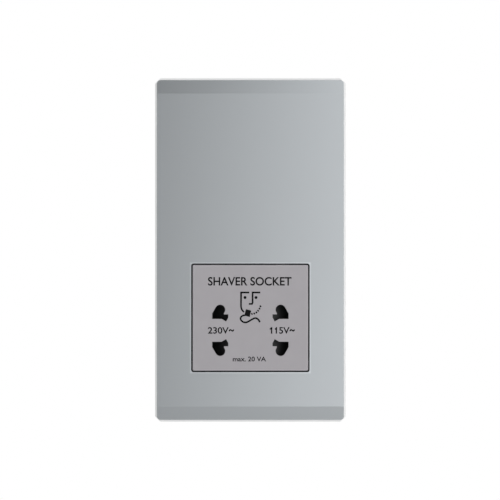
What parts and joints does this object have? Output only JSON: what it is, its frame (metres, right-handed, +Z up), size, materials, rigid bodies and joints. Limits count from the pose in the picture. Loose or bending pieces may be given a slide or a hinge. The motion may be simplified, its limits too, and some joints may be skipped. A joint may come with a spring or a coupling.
{
  "type": "shaver socket",
  "caption": "Upright wall socket for electric shavers: satin metal front, grey insert with pin apertures for either voltage, a sprung shutter and an isolating transformer behind.",
  "frame": {"origin": "middle of the two wall fixing holes, in the plane of the wall", "axes": "+X to the right seen from the front, +Y into the wall, +Z up"},
  "size_m": [0.0878, 0.0515, 0.1582],
  "materials": {
    "satin_metal": "satin, blasted and anodised",
    "pale_plastic": "fine moulded texture",
    "grey_plastic": "matt moulded",
    "black_plastic": "matt moulded",
    "housing_plastic": "matt moulded",
    "zinc_steel": "bright zinc plate",
    "black_steel": "black zinc plate",
    "spring_steel": "drawn wire",
    "bronze": "rolled strip",
    "brass": "machined",
    "core_steel": "varnished laminations",
    "bobbin_plastic": "moulded nylon",
    "copper": "enamelled wire",
    "brown_pvc": "drawn PVC sleeve",
    "blue_pvc": "drawn PVC sleeve",
    "green_pvc": "drawn PVC sleeve",
    "red_pvc": "drawn PVC sleeve",
    "black_pvc": "drawn PVC sleeve"
  },
  "bodies": {
    "base": {"front_sheet": "satin_metal", "front_frame": "pale_plastic", "socket_insert": "grey_plastic", "shutter_spring": "spring_steel", "contact_carrier": "black_plastic", "contact_230_upper": "bronze", "contact_230_lower": "bronze", "contact_115_upper": "bronze", "contact_115_lower": "bronze", "switch_leaf_left": "bronze", "switch_leaf_right": "bronze", "switch_anvil_left": "bronze", "switch_anvil_right": "bronze", "mounting_plate": "zinc_steel", "housing_cover": "housing_plastic", "rear_housing": "housing_plastic", "core_e_stack": "core_steel", "core_i_stack": "core_steel", "bobbin": "bobbin_plastic", "primary_winding": "copper", "secondary_winding": "copper", "thermal_cutout": "black_plastic", "terminal_line": "brass", "terminal_neutral": "brass", "terminal_earth": "brass", "housing_screws": "black_steel", "terminal_screws": "zinc_steel", "lead_line": "brown_pvc", "lead_switch": "brown_pvc", "lead_anvils": "brown_pvc", "lead_neutral": "blue_pvc", "lead_leaves": "blue_pvc", "lead_earth": "green_pvc", "lead_230_upper": "red_pvc", "lead_230_lower": "black_pvc", "lead_115_upper": "red_pvc", "lead_115_lower": "black_pvc"},
    "shutter": {"shutter_slide": "black_plastic"}
  },
  "joints": [
    {"name": "shutter_travel", "type": "slide", "parent": "base", "child": "shutter", "axis": [1, 0, 0], "range_m": [-0.0076, 0.0076], "stiffness_N_per_m": 150, "deforming": ["shutter_spring", "switch_leaf_left", "switch_leaf_right"]}
  ]
}
